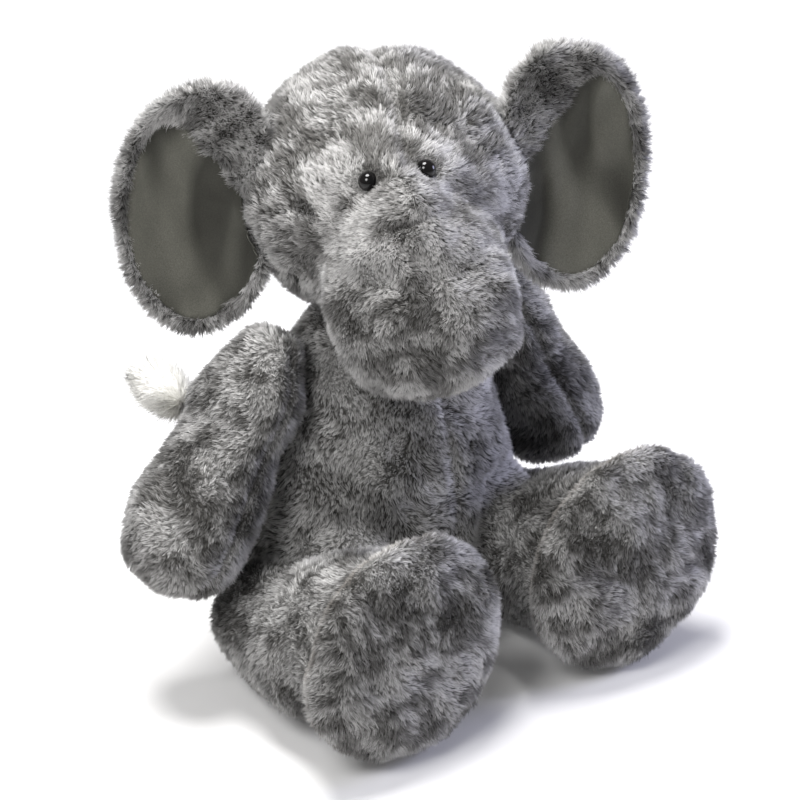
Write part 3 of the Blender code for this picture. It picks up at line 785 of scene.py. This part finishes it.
for name, side in SIDES.items():
    matrix = EAR[name]
    back = ear_sheet(f"{name}_ear_skin", side, matrix, [
        (0.20, -0.005, False), (0.50, -0.005, False), (0.80, -0.004, False), (0.94, -0.001, False),
        (0.965, 0.0025, False), (0.94, 0.0055, False), (0.89, 0.0060, True), (0.82, 0.0010, True),
        (0.50, -0.0020, True), (0.20, -0.0020, True),
    ])
    clear_of_head(back, -0.004)
    remesh(back, 0.0026, 4)
    soften(back, 300 + side, lambda places: np.zeros(len(places)), lumps=0.0005)
    lay_ground(back, GROUND)
    finish_piece(back, f"{name}_ear",
                 [f"{name}_ear_back", f"{name}_ear_padding"])

    lining = ear_sheet(f"{name}_ear_velour", side, matrix, [
        (0.10, 0.0012, True), (0.45, 0.0012, True), (0.70, 0.0020, True), (0.80, 0.0030, True),
        (0.855, 0.0044, True), (0.865, 0.0056, True), (0.855, 0.0068, True), (0.80, 0.0066, True),
        (0.70, 0.0056, True), (0.45, 0.0052, True), (0.10, 0.0050, True),
    ], 128)
    clear_of_head(lining, -0.001)
    remesh(lining, 0.0016, 3)
    own = into(matrix, vertices(lining.data))
    front = into(matrix, vertices(lining.data) + normals(lining.data))[:, 1] - own[:, 1] < -0.3
    crest = folds(own, 31 + 10 * side)
    put(lining.data, vertices(lining.data) + normals(lining.data) * (front * crest * 0.0030)[:, None])
    step = lining.modifiers.new("smooth", "SMOOTH")
    step.factor = 0.5
    step.iterations = 3
    bake(lining)
    lining.data.shade_smooth()
    # Painted shade: the lining is darker in the valleys of its folds and towards the root beside the head.
    from_root = own[:, 0] * side / EAR_HALF_WIDTH + 0.35 * (1 - own[:, 2] / EAR_HALF_HEIGHT)
    shade = np.clip(0.60 + 0.42 * crest, 0, 1) * (0.25 + 0.75 * smoothstep(-0.05, 0.75, from_root))
    layer = lining.data.attributes.new("patch", "FLOAT", "POINT")
    layer.data.foreach_set("value", shade.astype(np.float32))
    lining.data.materials.append(VELOUR)
    finish_piece(lining, f"{name}_ear", [f"{name}_ear_lining"])

    def ear_lay(places, matrix=matrix):
        """Outward from the root."""
        return out_of(matrix, into(matrix, places) * np.array([1.6, 0.0, 1.0]))

    def ear_keep(places, matrix=matrix, side=side):
        """Everywhere but under the lining, which stops short of the root's top corner."""
        own = into(matrix, places)
        x = (own[:, 0] * side - EAR_CENTRE_OUT) / EAR_HALF_WIDTH
        z = own[:, 2] / EAR_HALF_HEIGHT
        share = np.sqrt(x * x + z * z)
        angle = np.arctan2(z, x) % (2 * math.pi)
        inner = share < 0.85 * fold_over(angle)
        facing = own[:, 1] < ear_middle(angle, share) + 0.0040
        return 1.0 - (inner & facing)

    fur = grow(f"{name}_ear_fur", back.data, 49800, ear_lay, FUR, 320 + side, length=0.0078,
               keep=ear_keep, swirl=0.6, lift=1.1, tone_and_painted_light=0.22)
    finish_piece(fur, f"{name}_ear")

# ---- Arms ----

for name, side in SIDES.items():
    matrix = ARM[name]

    def arm_seam(places, matrix=matrix):
        return ridge(into(matrix, places)[:, 0], 0.0045)

    nodes = [f"{name}_arm_outer_panel", f"{name}_arm_inner_panel", f"{name}_arm_stuffing"]
    upper_arm = blob((0, 0, -0.038), (0.038, 0.046, 0.050), matrix)
    arm = skin(f"{name}_arm_skin", nodes, 0.0042, arm_seam, extra=[upper_arm], seed=400 + side)
    lay_ground(arm, GROUND)
    finish_piece(arm, f"{name}_arm", nodes)
    down = out_of(matrix, np.array([[0, 0, -1.0]]))[0]
    fur = grow(f"{name}_arm_fur", arm.data, 49800, steady(down), FUR, 420 + side,
               trim=lambda places, seam=arm_seam: 1 - 0.45 * seam(places))
    finish_piece(fur, f"{name}_arm")

# ---- Legs ----

for name, side in SIDES.items():
    matrix = LEG[name]

    def sole_ring(places, matrix=matrix):
        return ridge(into(matrix, places)[:, 1] + SOLE_SEAM, 0.0060)

    def foot_form(places, matrix=matrix):
        """The seam, the leg drawn in behind it and the sole's rim swelling before it."""
        past = into(matrix, places)[:, 1] + SOLE_SEAM
        step = smoothstep(0.0, 0.009, past) * (1 - smoothstep(0.018, 0.080, past))
        return 0.45 * ridge(past, 0.0045) + step - 0.28 * ridge(past + 0.012, 0.010)

    def leg_lay(places, matrix=matrix):
        own = into(matrix, places)
        leg = np.tile([0, -1.0, -0.15], (len(own), 1))
        outward = own[:, 0] * 0.6 + 0.3 * np.sin(own[:, 2] * 60)
        sole = np.stack([outward, np.zeros(len(own)), -np.ones(len(own))], 1)
        on_sole = smoothstep(SOLE_SEAM - 0.003, SOLE_SEAM + 0.003, -own[:, 1])[:, None]
        return out_of(matrix, leg * (1 - on_sole) + sole * on_sole)

    nodes = [f"{name}_leg_skin", f"{name}_foot_sole", f"{name}_leg_stuffing"]
    leg = skin(f"{name}_leg_skin_form", nodes, 0.0046, foot_form, seed=500 + side, cap=0.005,
               smoothing=2, depth=0.0105, inset=0.0022)
    lay_ground(leg, GROUND)
    finish_piece(leg, f"{name}_leg", nodes)
    for part, sign in (("sole", -1), ("leg", 1)):
        def chosen(places, matrix=matrix, sign=sign):
            own = into(matrix, places)
            return ((own[:, 1] + SOLE_SEAM) * sign > 0) * (places[:, 2] > 0.004)

        fur = grow(f"{name}_{part}_fur", leg.data, 40000 if part == "sole" else 49000, leg_lay,
                   FUR, 520 + side + 7 * sign, keep=chosen,
                   trim=lambda places, seam=sole_ring: 1 - 0.78 * seam(places),
                   tint=lambda places, seam=sole_ring: 0.42 * seam(places))
        finish_piece(fur, f"{name}_leg")

# ---- Tail ----

tail_frame = frame_at(TAIL_ROOT, TAIL_AIM)
cord = joined("tail_cord_skin", ["tail_cord"])
remesh(cord, 0.002, 3)
draw_in(cord, 0.0022)
cord.data.shade_smooth()
lay_ground(cord, GROUND)
finish_piece(cord, "tail", ["tail_cord"])
back_along = np.array(tail_frame.to_3x3() @ Vector((0, 1, 0.12)))
fur = grow("tail_cord_fur", cord.data, 3600, steady(back_along), FUR, 601, length=0.008, lift=0.4)
finish_piece(fur, "tail")

tuft = joined("tail_tuft_core", ["tail_tuft"])
remesh(tuft, 0.003, 6)
draw_in(tuft, 0.008)
tuft.data.shade_smooth()
lay_ground(tuft, CREAM_GROUND)
finish_piece(tuft, "tail", ["tail_tuft"])
fur = grow("tail_tuft_fur", tuft.data, 12000, steady(back_along), CREAM, 602, length=0.016,
           lift=0.55, width=0.0005, swirl=0.7)
finish_piece(fur, "tail")

# ---- Floor, light and camera ----

def floor_material():
    made = Nodes("white_floor", 0.9)
    faint = made.noise(3, 2, 0.5)
    made.color(made.ramp(faint, (0.3, (0.79, 0.782, 0.778)), (0.7, (0.81, 0.802, 0.798))))
    made.shader.inputs["Emission Color"].default_value = (1, 1, 1, 1)
    made.shader.inputs["Emission Strength"].default_value = 0.05
    return made.material


floor_mesh = bpy.data.meshes.new("floor")
floor_mesh.from_pydata([(-6, -6, 0), (6, -6, 0), (6, 6, 0), (-6, 6, 0)], [], [(0, 1, 2, 3)])
floor_mesh.materials.append(floor_material())
floor = bpy.data.objects.new("floor", floor_mesh)
bpy.context.scene.collection.objects.link(floor)


def softbox(name, place, target, size, power, color=(1, 1, 1)):
    lamp = bpy.data.lights.new(name, "AREA")
    lamp.shape = "DISK"
    lamp.size = size
    lamp.energy = power
    lamp.color = color
    thing = bpy.data.objects.new(name, lamp)
    thing.location = place
    thing.rotation_euler = (Vector(target) - Vector(place)).to_track_quat("-Z", "Y").to_euler()
    bpy.context.scene.collection.objects.link(thing)


CAMERA_AZIMUTH = math.radians(-40)
CAMERA_ELEVATION = math.radians(26.8)
CAMERA_DISTANCE = 3.0
PICTURE = 800            # the picture's width and height
SCALE = 1424             # of the picture's steps to a metre at the origin
ORIGIN_AT = (390, 638)   # where the origin falls in the picture
towards = Vector((math.sin(CAMERA_AZIMUTH) * math.cos(CAMERA_ELEVATION),
                  -math.cos(CAMERA_AZIMUTH) * math.cos(CAMERA_ELEVATION),
                  math.sin(CAMERA_ELEVATION)))
across = Vector((math.cos(CAMERA_AZIMUTH), math.sin(CAMERA_AZIMUTH), 0))
upward = towards.cross(across)
MIDDLE = Vector((0, 0, 0.22))
softbox("top", Vector((-0.25, 0.15, 2.2)), MIDDLE, 1.0, 72)
softbox("key", MIDDLE + towards * 1.6 - across * 0.7 + Vector((0, 0, 0.7)), MIDDLE, 0.8, 30)
softbox("rim", MIDDLE - towards * 0.3 + across * 1.6 + Vector((0, 0, 0.6)), MIDDLE, 0.7, 16, (0.70, 0.72, 1))

world = bpy.data.worlds.new("studio")
bpy.context.scene.world = world
world.use_nodes = True
world.node_tree.nodes["Background"].inputs[0].default_value = (1, 1, 1, 1)
world.node_tree.nodes["Background"].inputs[1].default_value = 0.27

lens = bpy.data.cameras.new("camera")
lens.sensor_width = 36
lens.lens = 192.2
camera = bpy.data.objects.new("camera", lens)
bpy.context.scene.collection.objects.link(camera)
aim = Vector((0, -0.02, 0.2))
camera.location = aim + towards * CAMERA_DISTANCE
camera.rotation_euler = Matrix((across, upward, towards)).transposed().to_euler()
from_middle_x = ORIGIN_AT[0] + SCALE * across.dot(aim) - PICTURE / 2
from_middle_y = ORIGIN_AT[1] - SCALE * upward.dot(aim) - PICTURE / 2
camera.location -= across * (from_middle_x / SCALE) - upward * (from_middle_y / SCALE)
bpy.context.scene.camera = camera
bpy.context.scene.view_settings.view_transform = "Standard"

for leftover in [mesh for mesh in bpy.data.meshes if mesh.users == 0]:
    bpy.data.meshes.remove(leftover)
